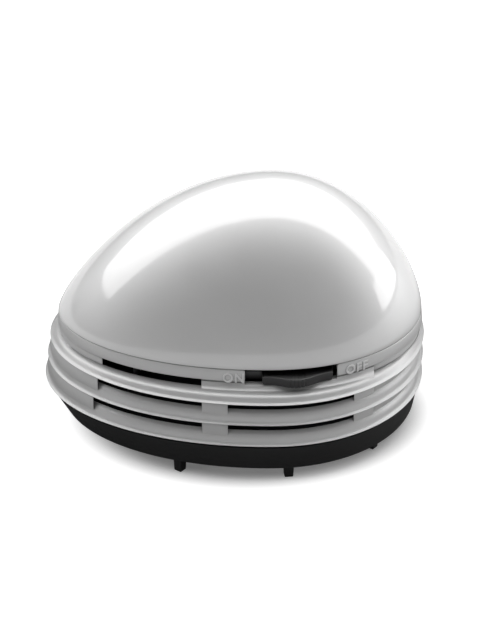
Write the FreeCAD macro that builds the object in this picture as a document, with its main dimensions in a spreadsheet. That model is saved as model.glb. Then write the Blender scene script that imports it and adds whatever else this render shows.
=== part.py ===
"""Desktop mini vacuum cleaner: an egg-shaped, battery-driven table sweeper.

Frame: millimetres, +Z up, origin under the middle of the body at table height.
The nose points along -X, the switch is on the -Y side.
"""

import FreeCAD, Part
import math
import os
import Sketcher
from FreeCAD import Placement, Rotation, Vector

doc = FreeCAD.newDocument("desk_vacuum")
sheet = doc.addObject("Spreadsheet::Sheet", "sizes")

SIZES = {
    "overall form": {
        "body_length": 118.0,
        "body_width": 92.0,
        "widest_station": 11.7,
        "dome_height": 43.4,
        "nose_roundness": 1.2,
        "side_roundness": 1.36,
        "tail_roundness": 1.51,
    },
    "dust tray": {
        "foot_height": 5.0,
        "tray_height": 9.2,
        "tray_nose_inset": 5.8,
        "tray_tail_inset": 2.4,
        "tray_side_inset": 2.3,
        "tray_edge_height": 0.7,
        "tray_edge_draft": 0.9,
        "tray_rim_inset": 1.0,
        "tray_wall": 1.8,
        "tray_floor": 1.8,
        "rim_gap": 0.8,
        "seat_gap": 0.1,
        "seat_width": 1.5,
        "lip_height": 2.4,
        "lip_wall": 1.4,
        "lip_clearance": 0.3,
        "mouth_length": 40.0,
        "mouth_width": 12.0,
        "duct_wall": 1.4,
        "duct_height": 6.0,
    },
    "feet": {
        "foot_side": 3.1,
        "foot_tip_side": 2.7,
        "foot_sink": 1.0,
        "foot_front_x": -17.4,
        "foot_front_y": 35.1,
        "foot_middle_x": 15.5,
        "foot_middle_y": 39.0,
        "foot_rear_x": 41.9,
        "foot_rear_y": 24.3,
    },
    "brushes": {
        "brush_gap": 2.0,
        "brush_width": 2.4,
        "brush_strip_height": 1.2,
        "tuft_diameter": 1.6,
        "tuft_length": 2.8,
        "tuft_pitch": 3.6,
        "tuft_count": 10,
    },
    "louvres": {
        "ring_pitch": 6.8,
        "ring_face": 2.2,
        "face_draft": 0.15,
        "shoulder_rise": 3.0,
        "shoulder_inset": 0.5,
        "ledge_rise": 3.5,
        "ledge_inset": 1.2,
        "slot_rise": 4.2,
        "upper_ledge_rise": 2.3,
        "upper_ledge_inset": 0.6,
        "nose_lean": 1.0,
        "side_lean": 0.6,
        "housing_wall": 3.0,
        "groove_depth": 2.0,
        "slot_nose_end": -43.4,
        "slot_nose_step": 1.5,
        "front_bridge_start": -10.7,
        "front_bridge_width": 7.7,
        "rear_bridge_start": 35.0,
        "rear_bridge_width": 6.3,
    },
    "top band": {
        "band_drop": 4.7,
        "band_height": 4.1,
        "band_nose_setback": 2.5,
        "band_tail_setback": 0.7,
        "band_side_setback": 5.7,
        "band_end_draft": 0.35,
        "band_side_draft": 0.8,
        "band_wall": 1.5,
        "slot_wall": 0.5,
    },
    "dome cover": {
        "seam_gap": 0.2,
        "cover_wall": 2.8,
        "cover_lip_height": 1.6,
        "cover_lip_wall": 1.0,
        "cover_top_wall": 2.4,
        "dome_levels": 7,
        "lip_gap_margin": 1.0,
    },
    "deck and baffle": {
        "baffle_rise": 2.4,
        "baffle_thickness": 1.4,
        "baffle_clearance": 0.3,
        "inlet_diameter": 30.0,
        "deck_thickness": 2.0,
        "post_diameter": 6.0,
        "boss_seat": 1.5,
        "boss_root": 0.5,
        "post_front_x": -30.0,
        "post_front_y": 25.6,
        "post_rear_x": 44.0,
        "post_rear_y": 22.0,
        "screw_diameter": 2.2,
        "screw_head_diameter": 4.4,
        "screw_head_height": 1.4,
        "screw_crown_radius": 1.3,
        "screw_crown_height": 0.85,
        "screw_bite": 4.0,
        "pilot_clearance": 0.2,
    },
    "filter": {
        "filter_diameter": 46.0,
        "filter_rim": 4.0,
        "filter_height": 2.2,
        "filter_step": 0.8,
        "screen_thickness": 0.8,
        "spoke_width": 1.6,
        "spoke_count": 6,
    },
    "fan": {
        "fan_clearance": 1.0,
        "fan_diameter": 54.0,
        "fan_plate": 1.2,
        "blade_height": 5.4,
        "blade_thickness": 1.0,
        "blade_inner_radius": 11.0,
        "blade_count": 11,
        "blade_sweep": 35.0,
        "blade_bow": 0.18,
        "hub_diameter": 9.0,
        "hub_height": 5.0,
    },
    "motor": {
        "can_diameter": 20.1,
        "can_across_flats": 15.1,
        "can_length": 20.0,
        "cap_length": 5.1,
        "nose_boss_diameter": 6.1,
        "nose_boss_height": 1.6,
        "boss_clearance": 0.2,
        "shaft_diameter": 2.0,
        "shaft_clearance": 0.05,
        "shaft_tail": 1.4,
        "terminal_width": 2.4,
        "terminal_height": 3.0,
        "terminal_thickness": 0.5,
        "terminal_spread": 10.0,
    },
    "batteries": {
        "cell_diameter": 14.5,
        "cell_length": 49.2,
        "nub_diameter": 5.5,
        "nub_length": 1.3,
        "crimp_depth": 0.6,
        "crimp_width": 0.5,
        "cell_spread": 17.0,
        "cell_clearance": 0.25,
        "cell_middle_x": 7.45,
        "spring_room": 4.4,
        "contact_thickness": 0.5,
        "strap_height": 2.4,
        "cradle_wall": 1.2,
        "cradle_floor": 1.2,
        "cradle_rise": 3.0,
        "well_clearance": 0.5,
        "leaf_length": 10.0,
        "leaf_width": 4.0,
        "lead_diameter": 1.4,
        "pin_spread": 6.0,
    },
    "slide switch": {
        "opening_start": 2.2,
        "opening_length": 27.6,
        "knob_length": 21.9,
        "knob_end_gap": 0.6,
        "knob_travel": 5.0,
        "knob_thickness": 2.9,
        "knob_rise": 3.0,
        "knob_bulge": 2.0,
        "knob_flush": 0.1,
        "knob_wave_turns": 0.8,
        "grip_rib_count": 7,
        "grip_rib_pitch": 1.1,
        "grip_rib_depth": 0.35,
        "flange_y": 31.6,
        "flange_thickness": 1.0,
        "flange_tail": 6.3,
        "flange_top_gap": 0.5,
        "slide_clearance": 0.1,
        "rail_thickness": 1.2,
        "rail_height": 1.6,
        "rail_start": -6.0,
        "rail_end": 26.0,
        "switch_length": 14.0,
        "switch_depth": 4.6,
        "switch_height": 6.2,
        "switch_gap": 0.4,
        "stem_width": 2.4,
        "stem_depth": 2.2,
        "stem_height": 2.0,
    },
}


class Size:
    """A length known both as a number and as the expression that gives it."""

    def __init__(self, text, value):
        self.text = text
        self.value = value

    def __float__(self):
        return float(self.value)

    def __add__(self, other):
        other = size_of(other)
        return Size(f"({self.text} + {other.text})", self.value + other.value)

    def __sub__(self, other):
        other = size_of(other)
        return Size(f"({self.text} - {other.text})", self.value - other.value)

    def __mul__(self, other):
        other = size_of(other)
        return Size(f"({self.text} * {other.text})", self.value * other.value)

    def __truediv__(self, other):
        other = size_of(other)
        return Size(f"({self.text} / {other.text})", self.value / other.value)

    def __neg__(self):
        return Size(f"(0 - {self.text})", -self.value)

    __radd__ = __add__
    __rmul__ = __mul__


def size_of(item):
    return item if isinstance(item, Size) else Size(repr(float(item)), float(item))


def fill_sheet():
    """Writes every driving size into the sheet, one alias a row."""
    cells = {}
    row = 1
    for section, entries in SIZES.items():
        sheet.set(f"A{row}", section)
        row += 1
        for name, value in entries.items():
            sheet.set(f"A{row}", name)
            sheet.set(f"B{row}", str(value))
            sheet.setAlias(f"B{row}", name)
            cells[name] = Size(f"sizes.{name}", float(value))
            row += 1
    doc.recompute()
    return cells


cell = fill_sheet()
nodes = {}


def get(name):
    return cell[name]


def num(name):
    return cell[name].value


# ------------------------------------------------------------------ levels

tray_bottom = get("foot_height")
tray_top = tray_bottom + get("tray_height")
housing_bottom = tray_top + get("rim_gap")
lip_top = tray_top + get("lip_height")
ring_bottoms = [housing_bottom + get("ring_pitch") * step for step in range(3)]
shelf_top = ring_bottoms[2] + get("upper_ledge_rise")
band_bottom = ring_bottoms[2] + get("band_drop")
band_top = band_bottom + get("band_height")
cover_bottom = band_top + get("seam_gap")
cover_top = cover_bottom + get("dome_height")
baffle_bottom = housing_bottom + get("baffle_rise")
baffle_top = baffle_bottom + get("baffle_thickness")
fan_bottom = baffle_top + get("fan_clearance")
fan_plate_bottom = fan_bottom + get("blade_height")
deck_bottom = fan_plate_bottom + get("fan_plate") + get("fan_clearance")
deck_top = deck_bottom + get("deck_thickness")
cell_axis_z = deck_top + get("cradle_floor") + get("cell_clearance") + get("cell_diameter") / 2
knob_bottom = shelf_top + get("knob_rise") / 2
axis_x = get("widest_station")


# ------------------------------------------------------- outlines and lofts


class Inset:
    """How far an outline lies inside the body's plan at its nose, tail and sides."""

    def __init__(self, nose=0.0, tail=None, side=None):
        self.nose = float(nose)
        self.tail = float(nose if tail is None else tail)
        self.side = float(nose if side is None else side)

    def __add__(self, other):
        return Inset(self.nose + other.nose, self.tail + other.tail, self.side + other.side)

    def grow(self, by):
        by = float(by)
        return Inset(self.nose + by, self.tail + by, self.side + by)


def half_ellipse(along, across, z, towards):
    """The nose half (towards -1) or tail half (+1) of the plan, run counter-clockwise."""
    centre = Vector(num("widest_station"), 0, z)
    if along >= across:
        curve = Part.Ellipse(centre + Vector(along, 0, 0), centre + Vector(0, across, 0), centre)
    else:
        curve = Part.Ellipse(centre + Vector(0, across, 0), centre - Vector(along, 0, 0), centre)
    start = curve.parameter(centre - Vector(0, across * towards, 0))
    end = curve.parameter(centre + Vector(0, across * towards, 0))
    if end <= start:
        end += 2 * math.pi
    return curve.toShape(start, end)


def semi_axes(inset):
    half = num("body_length") / 2
    station = num("widest_station")
    return half - inset.nose + station, half - inset.tail - station, num("body_width") / 2 - inset.side


def outline(z, inset, scales=(1.0, 1.0, 1.0)):
    """The body's plan at height z: two half-ellipses that meet at the widest station."""
    nose, tail, side = (axis * scale for axis, scale in zip(semi_axes(inset), scales))
    z = float(z)
    return Part.Wire([half_ellipse(tail, side, z, 1), half_ellipse(nose, side, z, -1)])


def half_width(x, inset):
    """Half of the plan's width at station x."""
    nose, tail, side = semi_axes(inset)
    reach = x - num("widest_station")
    along = tail if reach > 0 else nose
    return side * math.sqrt(max(0.0, 1 - (reach / along) ** 2))


def stack(levels):
    """A solid through outlines given as (height, inset), straight between them."""
    return Part.makeLoft([outline(z, inset) for z, inset in levels], True, True)


def collar(low, high, outer, inner):
    """An upright band between two outlines."""
    return stack([(low, outer), (high, outer)]).cut(stack([(low, inner), (high, inner)]))


def box(x0, x1, y0, y1, z0, z1):
    x0, x1, y0, y1, z0, z1 = (float(v) for v in (x0, x1, y0, y1, z0, z1))
    return Part.makeBox(x1 - x0, y1 - y0, z1 - z0, Vector(x0, y0, z0))


def post(x, y, z0, z1, diameter):
    return Part.makeCylinder(float(diameter) / 2, float(z1) - float(z0), Vector(x, y, float(z0)))


ring_insets = [Inset(num("nose_lean") * step, 0.0, num("side_lean") * step) for step in range(3)]
band_inset = ring_insets[2] + Inset(
    num("band_nose_setback"), num("band_tail_setback"), num("band_side_setback")
)
seam_inset = band_inset + Inset(num("band_end_draft"), num("band_end_draft"), num("band_side_draft"))
bay_inset = seam_inset.grow(num("band_wall"))
reach_y = num("body_width")


def post_places():
    """The four places where baffle, deck and housing are screwed together."""
    for x_name, y_name in (("post_front_x", "post_front_y"), ("post_rear_x", "post_rear_y")):
        for hand in (-1, 1):
            yield num(x_name), hand * num(y_name)


# -------------------------------------------------- document object helpers


def bind(obj, **properties):
    """Binds properties to the sheet; double underscores stand for dots."""
    for name, value in properties.items():
        path = name.replace("__", ".")
        obj.setExpression(path, size_of(value).text)
    return obj


def place(obj, x=0.0, y=0.0, z=0.0):
    bind(obj, Placement__Base__x=x, Placement__Base__y=y, Placement__Base__z=z)
    return obj


def keep(name, obj):
    obj.Label = name
    nodes[name] = obj
    return obj


def feature(name, shape):
    obj = doc.addObject("Part::Feature", name)
    obj.Shape = shape
    obj.Placement = Placement()
    return keep(name, obj)


def new_body(name):
    return keep(name, doc.addObject("PartDesign::Body", name))


def plane_of(body, role):
    return next(item for item in body.Origin.OriginFeatures if item.Role == role)


def new_sketch(body, name, role="XY_Plane", offset=0.0):
    sketch = body.newObject("Sketcher::SketchObject", f"{body.Name}_{name}")
    sketch.AttachmentSupport = (plane_of(body, role), [""])
    sketch.MapMode = "FlatFace"
    bind(sketch, AttachmentOffset__Base__z=offset)
    return sketch


def fix(sketch, kind, *refs, value):
    """Adds a dimension to a sketch and binds it to the sheet."""
    index = sketch.addConstraint(Sketcher.Constraint(kind, *refs, float(value)))
    sketch.setExpression(f"Constraints[{index}]", size_of(value).text)


def draw_polygon(sketch, corners):
    """A closed polygon whose corners are each dimensioned from the origin."""
    count = len(corners)
    points = [Vector(float(x), float(y), 0) for x, y in corners]
    first = sketch.GeometryCount
    for index in range(count):
        sketch.addGeometry(Part.LineSegment(points[index], points[(index + 1) % count]))
    for index in range(count):
        following = first + (index + 1) % count
        sketch.addConstraint(Sketcher.Constraint("Coincident", first + index, 2, following, 1))
    for index, (x, y) in enumerate(corners):
        fix(sketch, "DistanceX", -1, 1, first + index, 1, value=x)
        fix(sketch, "DistanceY", -1, 1, first + index, 1, value=y)


def draw_rectangle(sketch, x0, x1, y0, y1):
    draw_polygon(sketch, [(x0, y0), (x1, y0), (x1, y1), (x0, y1)])


def draw_circle(sketch, x, y, diameter):
    index = sketch.addGeometry(
        Part.Circle(Vector(float(x), float(y), 0), Vector(0, 0, 1), float(diameter) / 2)
    )
    fix(sketch, "DistanceX", -1, 1, index, 3, value=x)
    fix(sketch, "DistanceY", -1, 1, index, 3, value=y)
    fix(sketch, "Diameter", index, value=diameter)


def pad(body, sketch, length, reversed_=False):
    item = body.newObject("PartDesign::Pad", f"{sketch.Name}_pad")
    item.Profile = sketch
    item.Reversed = reversed_
    bind(item, Length=length)
    sketch.Visibility = False
    return item


def pocket(body, sketch, length, reversed_=False):
    item = body.newObject("PartDesign::Pocket", f"{sketch.Name}_pocket")
    item.Profile = sketch
    item.Reversed = reversed_
    bind(item, Length=length)
    return item


def revolve(body, sketch, axis="H_Axis"):
    item = body.newObject("PartDesign::Revolution", f"{sketch.Name}_revolve")
    item.Profile = sketch
    item.ReferenceAxis = (sketch, [axis])
    item.Angle = 360.0
    return item


def cylinder(name, diameter, height, x=0.0, y=0.0, z=0.0):
    item = doc.addObject("Part::Cylinder", name)
    bind(item, Radius=size_of(diameter) / 2, Height=height)
    return place(item, x, y, z)


def block(name, length, width, height, x=0.0, y=0.0, z=0.0):
    item = doc.addObject("Part::Box", name)
    bind(item, Length=length, Width=width, Height=height)
    return place(item, x, y, z)


def fuse(name, *items):
    item = doc.addObject("Part::MultiFuse", name)
    item.Shapes = list(items)
    return item


def cut(name, base, tool):
    item = doc.addObject("Part::Cut", name)
    item.Base = base
    item.Tool = tool
    return item


def common(name, *items):
    item = doc.addObject("Part::MultiCommon", name)
    item.Shapes = list(items)
    return item


# --------------------------------------------------------------- dust tray


def stadium(length, width, z0, z1):
    """An upright obround block, long along Y, centred on the fan's axis."""
    radius = width / 2
    reach = length / 2 - radius
    solid = box(
        num("widest_station") - radius, num("widest_station") + radius, -reach, reach, z0, z1
    )
    for hand in (-1, 1):
        solid = solid.fuse(post(num("widest_station"), hand * reach, z0, z1, width))
    return solid.removeSplitter()


def foot_places():
    for station in ("front", "middle", "rear"):
        for hand in (-1, 1):
            yield num(f"foot_{station}_x"), hand * num(f"foot_{station}_y")


def make_dust_tray():
    bottom = float(tray_bottom)
    top = float(tray_top)
    wall = num("tray_wall")
    edge = Inset(num("tray_nose_inset"), num("tray_tail_inset"), num("tray_side_inset"))
    shell = stack([
        (bottom, edge.grow(num("tray_edge_draft"))),
        (bottom + num("tray_edge_height"), edge),
        (top, Inset(num("tray_rim_inset"))),
    ])
    lip_outer = Inset(num("housing_wall") + num("lip_clearance"))
    lip_inner = lip_outer.grow(num("lip_wall"))
    seat_top = float(housing_bottom) - num("seat_gap")
    shell = shell.fuse(stack([(top, lip_outer), (float(lip_top), lip_outer)]))
    seat_outer = lip_outer.grow(-num("seat_width"))
    shell = shell.fuse(stack([(top, seat_outer), (seat_top, seat_outer)]))
    floor = bottom + num("tray_floor")
    hollow = stack([
        (floor, edge.grow(wall)),
        (floor + wall, edge.grow(wall)),
        (top, lip_inner),
        (float(lip_top) + 1, lip_inner),
    ])
    shell = shell.cut(hollow)
    duct_top = floor + num("duct_height")
    length = num("mouth_length") + 2 * num("duct_wall")
    width = num("mouth_width") + 2 * num("duct_wall")
    shell = shell.fuse(stadium(length, width, bottom, duct_top))
    mouth = stadium(num("mouth_length"), num("mouth_width"), bottom - 1, duct_top + 1)
    shell = shell.cut(mouth)
    for x, y in foot_places():
        shell = shell.cut(foot_socket(x, y))
    return feature("dust_tray", shell.removeSplitter())


def foot_turn(x, y):
    """A foot's turn about its own axis: its faces look at the fan's axis."""
    return math.degrees(math.atan2(y, x - num("widest_station")))


def foot_socket(x, y):
    side = num("foot_side")
    solid = Part.makeBox(side, side, num("foot_sink"), Vector(-side / 2, -side / 2, 0))
    solid.Placement = Placement(
        Vector(x, y, num("foot_height")), Rotation(Vector(0, 0, 1), foot_turn(x, y))
    )
    return solid


def make_feet():
    """Six square posts that taper towards their tips and stand in sockets in the floor."""
    master = doc.addObject("PartDesign::Body", "foot_master")
    half_tip = get("foot_tip_side") / 2
    half_root = get("foot_side") / 2
    tip = new_sketch(master, "tip")
    draw_rectangle(tip, -half_tip, half_tip, -half_tip, half_tip)
    root = new_sketch(master, "root", offset=get("foot_height"))
    draw_rectangle(root, -half_root, half_root, -half_root, half_root)
    taper = master.newObject("PartDesign::AdditiveLoft", "foot_taper")
    taper.Profile = tip
    taper.Sections = [root]
    taper.Ruled = True
    doc.recompute()
    peg = new_sketch(master, "peg", offset=get("foot_height"))
    draw_rectangle(peg, -half_root, half_root, -half_root, half_root)
    pad(master, peg, get("foot_sink"))
    doc.recompute()
    solids = []
    for x, y in foot_places():
        solid = master.Shape.copy()
        solid.Placement = Placement(Vector(x, y, 0), Rotation(Vector(0, 0, 1), foot_turn(x, y)))
        solids.append(solid)
    return feature("base_feet", Part.makeCompound(solids))


def make_brush(name, hand):
    """A strip of bristle tufts beside the mouth, under the tray's floor."""
    body = new_body(name)
    length = get("tuft_pitch") * get("tuft_count")
    half = get("brush_width") / 2
    strip = new_sketch(body, "strip")
    draw_rectangle(strip, -half, half, -(length / 2), length / 2)
    pad(body, strip, get("brush_strip_height"), reversed_=True)
    tuft = new_sketch(body, "tuft", offset=-get("brush_strip_height"))
    draw_circle(tuft, 0.0, (get("tuft_pitch") - length) / 2, get("tuft_diameter"))
    tuft_pad = pad(body, tuft, get("tuft_length"), reversed_=True)
    row = body.newObject("PartDesign::LinearPattern", f"{name}_row")
    row.Originals = [tuft_pad]
    row.Direction = (tuft, ["V_Axis"])
    bind(row, Length=length - get("tuft_pitch"), Occurrences=get("tuft_count"))
    body.Tip = row
    offset = get("mouth_width") / 2 + get("brush_gap") + half
    return place(body, axis_x + offset * hand, 0.0, tray_bottom)


# ------------------------------------------------------------ vent housing


def ring_profile(step):
    """The levels of one louvre ring: face, rounded shoulder, ledge, and the wall above it."""
    base = float(ring_bottoms[step])
    inset = ring_insets[step]
    levels = [(base, inset), (base + num("ring_face"), inset.grow(num("face_draft")))]
    if step < 2:
        levels += [
            (base + num("shoulder_rise"), inset.grow(num("shoulder_inset"))),
            (base + num("ledge_rise"), inset.grow(num("ledge_inset"))),
            (float(ring_bottoms[step + 1]), inset.grow(num("ledge_inset"))),
        ]
    else:
        levels[-1] = (base + num("upper_ledge_rise"), inset.grow(num("upper_ledge_inset")))
    return levels


def slot_spans():
    """Where each row of slots is open, from the lowest row up, as (start, end) along X."""
    bridge_one = num("front_bridge_start")
    bridge_two = num("rear_bridge_start")
    for step in range(3):
        nose_end = num("slot_nose_end") + num("slot_nose_step") * step
        spans = [(nose_end, bridge_one)]
        if step < 2:
            spans.append((bridge_one + num("front_bridge_width"), bridge_two))
        yield step, spans


def slot_cutter(step):
    """The slots of one row, under the ring or the band above it, on both sides."""
    base = float(ring_bottoms[step])
    inset = ring_insets[step]
    groove_start = num("rear_bridge_start") + num("rear_bridge_width")
    tail = num("body_length")
    if step < 2:
        top = float(ring_bottoms[step + 1])
        low = base + num("shoulder_rise")
        wall = num("housing_wall")
        slope = (num("slot_rise") - num("shoulder_rise")) / (wall - num("shoulder_inset"))
        spare = wall
        ledge = stack([
            (low, inset.grow(num("shoulder_inset"))),
            (base + num("slot_rise") + spare * slope, inset.grow(wall + spare)),
        ])
        core = stack([(low, inset.grow(num("groove_depth"))), (top, inset.grow(num("groove_depth")))])
    else:
        top = float(band_bottom)
        low = float(shelf_top)
        ledge = None
        core_inset = band_inset.grow(num("slot_wall"))
        core = stack([(low, core_inset), (top, core_inset)])
    spans = dict(slot_spans())[step]
    cutters = []
    for start, end in spans:
        cutters.append(box(start, end, -reach_y, reach_y, low, top))
    cutters.append(box(groove_start, tail, -reach_y, reach_y, low, top).cut(core))
    solid = cutters[0].fuse(cutters[1:])
    return solid.cut(ledge) if ledge else solid


def make_vent_housing():
    """The white skirt: three louvre rings and the top band, hollow right through."""
    levels = [level for step in range(3) for level in ring_profile(step)]
    levels += [
        (float(shelf_top), band_inset),
        (float(band_bottom), band_inset),
        (float(band_top), seam_inset),
    ]
    shell = stack(levels)
    wall = num("housing_wall")
    under = float(deck_top)
    lean = (under - float(housing_bottom)) / num("ring_pitch")
    top_inset = Inset(num("nose_lean") * lean, 0.0, num("side_lean") * lean).grow(wall)
    hollow = stack([(float(housing_bottom), Inset(wall)), (under, top_inset)])
    bay = stack([(under, bay_inset), (float(band_top), bay_inset)])
    shell = shell.cut(hollow).cut(bay)
    for step in range(3):
        shell = shell.cut(slot_cutter(step))
    for start, end in dict(slot_spans())[2]:
        through = band_inset.grow(num("slot_wall"))
        well = stack([(under, through), (float(band_bottom), through)])
        shell = shell.cut(well.common(box(start, end, -reach_y, reach_y, under, band_bottom)))
    shell = shell.cut(switch_opening())
    rooted = bay_inset.grow(-num("boss_root"))
    boss_top = float(band_bottom) + num("boss_seat")
    rim = stack([(under, rooted), (boss_top, rooted)])
    for x, y in post_places():
        boss = post(x, y, under, boss_top, num("post_diameter")).common(rim)
        bore = post(x, y, under, under + num("screw_bite"), num("screw_diameter"))
        shell = shell.fuse(boss).cut(bore)
    return feature("vent_housing", shell.removeSplitter())


def switch_opening():
    start = num("opening_start")
    end = start + num("opening_length")
    return box(start, end, -reach_y, -num("flange_y") + num("flange_thickness"), shelf_top, band_top)


# -------------------------------------------------------------- dome cover


def dome_solid(inset, top, base, ruled):
    """A dome over the seam: each level's plan shrinks by sqrt(1 - w ** roundness)."""
    height = top - base
    roundness = (num("nose_roundness"), num("tail_roundness"), num("side_roundness"))
    count = int(num("dome_levels"))
    sections = []
    for step in range(count):
        rise = math.sin(math.radians(90.0 * step / count))
        scales = [math.sqrt(1 - rise**power) for power in roundness]
        sections.append(outline(base + height * rise, inset, scales))
    sections.append(Part.Vertex(num("widest_station"), 0, top))
    return Part.makeLoft(sections, True, ruled)


def make_dome_cover():
    base = float(cover_bottom)
    outer = dome_solid(seam_inset, float(cover_top), base, False)
    inner_inset = seam_inset.grow(num("cover_wall"))
    inner = dome_solid(inner_inset, float(cover_top) - num("cover_top_wall"), base, True)
    lip_outer = inner_inset.grow(-num("cover_lip_wall"))
    lip_low = base - num("cover_lip_height")
    lip = collar(lip_low, base, lip_outer, inner_inset)
    margin = num("lip_gap_margin")
    start = num("opening_start") - margin
    end = num("opening_start") + num("opening_length") + margin
    lip = lip.cut(box(start, end, -reach_y, 0, lip_low, base))
    return feature("dome_cover", outer.cut(inner).fuse(lip))


# --------------------------------------------------- deck, baffle and filter


def lower_inset(z, gap):
    """The plan of the fan chamber at height z, held off its wall by gap."""
    lean = (float(z) - float(housing_bottom)) / num("ring_pitch")
    start = Inset(num("nose_lean") * lean, 0.0, num("side_lean") * lean)
    return start.grow(num("housing_wall") + gap)


def make_deck_plate():
    """The plate between fan chamber and battery bay, with the switch's rail on top."""
    gap = num("baffle_clearance")
    low = float(deck_bottom)
    top = float(deck_top)
    plate = stack([(low, lower_inset(top, gap)), (top, lower_inset(top, gap))])
    hole = num("nose_boss_diameter") + 2 * num("boss_clearance")
    plate = plate.cut(post(num("widest_station"), 0, low, top, hole))
    screw_hole = num("screw_diameter") + 2 * num("pilot_clearance")
    for x, y in post_places():
        plate = plate.cut(post(x, y, low, top, screw_hole))
    face = -num("flange_y") - num("flange_thickness") - 2 * num("slide_clearance")
    rail = box(
        num("rail_start"), num("rail_end"), face - num("rail_thickness"), face,
        top, top + num("rail_height"),
    )
    return feature("deck_plate", plate.fuse(rail).removeSplitter())


def make_fan_baffle():
    """The plate under the fan: air comes up through its hole and leaves through the slots."""
    gap = num("baffle_clearance")
    low = float(baffle_bottom)
    top = float(baffle_top)
    shape = stack([(low, lower_inset(top, gap)), (top, lower_inset(top, gap))])
    shape = shape.cut(post(num("widest_station"), 0, low, top, num("inlet_diameter")))
    for x, y in post_places():
        shape = shape.fuse(post(x, y, top, float(deck_bottom), num("post_diameter")))
    screw_hole = num("screw_diameter") + 2 * num("pilot_clearance")
    for x, y in post_places():
        shape = shape.cut(post(x, y, low, float(deck_bottom), screw_hole))
    return feature("fan_baffle", shape.removeSplitter())


def make_filter_frame():
    body = new_body("filter_frame")
    outer = get("filter_diameter")
    inner = outer - get("filter_rim") * 2
    rim = new_sketch(body, "rim")
    draw_circle(rim, 0.0, 0.0, outer)
    draw_circle(rim, 0.0, 0.0, inner)
    pad(body, rim, get("filter_height"), reversed_=True)
    spoke = new_sketch(body, "spoke", offset=get("filter_step") - get("filter_height"))
    half = get("spoke_width") / 2
    draw_rectangle(spoke, 0.0, inner / 2 + get("filter_rim") / 2, -half, half)
    spoke_pad = pad(body, spoke, get("filter_step"), reversed_=True)
    wheel = body.newObject("PartDesign::PolarPattern", "filter_spokes")
    wheel.Originals = [spoke_pad]
    wheel.Axis = (spoke, ["N_Axis"])
    wheel.Angle = 360.0
    bind(wheel, Occurrences=get("spoke_count"))
    body.Tip = wheel
    return place(body, axis_x, 0.0, baffle_bottom)


def make_filter_screen():
    inner = get("filter_diameter") - get("filter_rim") * 2
    low = baffle_bottom - get("filter_height") + get("filter_step")
    screen = cylinder("filter_screen", inner, get("screen_thickness"), axis_x, 0.0, low)
    return keep("filter_screen", screen)


# ------------------------------------------------------------- fan and motor


def make_fan_impeller():
    """A backplate with swept blades hanging from it, pressed on the motor's shaft."""
    body = new_body("fan_impeller")
    disc = new_sketch(body, "disc")
    draw_circle(disc, 0.0, 0.0, get("fan_diameter"))
    pad(body, disc, get("fan_plate"))
    hub = new_sketch(body, "hub")
    draw_circle(hub, 0.0, 0.0, get("hub_diameter"))
    pad(body, hub, get("hub_height"), reversed_=True)
    blade = new_sketch(body, "blade")
    sweep = math.radians(num("blade_sweep"))
    inner = num("blade_inner_radius")
    outer = num("fan_diameter") / 2
    draw_blade(blade, inner, outer, sweep, num("blade_thickness"), num("blade_bow"))
    blade_pad = pad(body, blade, get("blade_height"), reversed_=True)
    wheel = body.newObject("PartDesign::PolarPattern", "fan_blades")
    wheel.Originals = [blade_pad]
    wheel.Axis = (blade, ["N_Axis"])
    wheel.Angle = 360.0
    bind(wheel, Occurrences=get("blade_count"))
    body.Tip = wheel
    doc.recompute()
    bore = new_sketch(body, "bore", offset=get("fan_plate"))
    draw_circle(bore, 0.0, 0.0, get("shaft_diameter"))
    pocket(body, bore, get("fan_plate") + get("hub_height"))
    return place(body, axis_x, 0.0, fan_plate_bottom)


def draw_blade(sketch, inner, outer, sweep, thickness, bow_share):
    """A blade in plan: two concentric arcs between the radii, bowed by a share of their chord."""
    start = Vector(inner, 0, 0)
    end = Vector(outer * math.cos(sweep), outer * math.sin(sweep), 0)
    chord = end - start
    middle = (start + end) / 2
    side = Vector(chord.y, -chord.x, 0).normalize()
    bow = middle + side * chord.Length * bow_share
    arc = Part.Arc(start, bow, end).toShape().Curve
    centre = arc.Center
    radii = (arc.Radius - thickness / 2, arc.Radius + thickness / 2)
    angles = [math.atan2(p.y - centre.y, p.x - centre.x) for p in (start, end)]
    if angles[1] < angles[0]:
        angles[1] += 2 * math.pi
    corners = []
    for radius in radii:
        circle = Part.Circle(centre, Vector(0, 0, 1), radius)
        sketch.addGeometry(Part.ArcOfCircle(circle, angles[0], angles[1]))
        corners.append([
            centre + Vector(math.cos(angle), math.sin(angle), 0) * radius for angle in angles
        ])
    for end_index in (0, 1):
        sketch.addGeometry(Part.LineSegment(corners[0][end_index], corners[1][end_index]))
    for line, point in ((2, 1), (3, 2)):
        sketch.addConstraint(Sketcher.Constraint("Coincident", line, 1, 0, point))
        sketch.addConstraint(Sketcher.Constraint("Coincident", line, 2, 1, point))
    for item in range(4):
        sketch.addConstraint(Sketcher.Constraint("Block", item))


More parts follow.
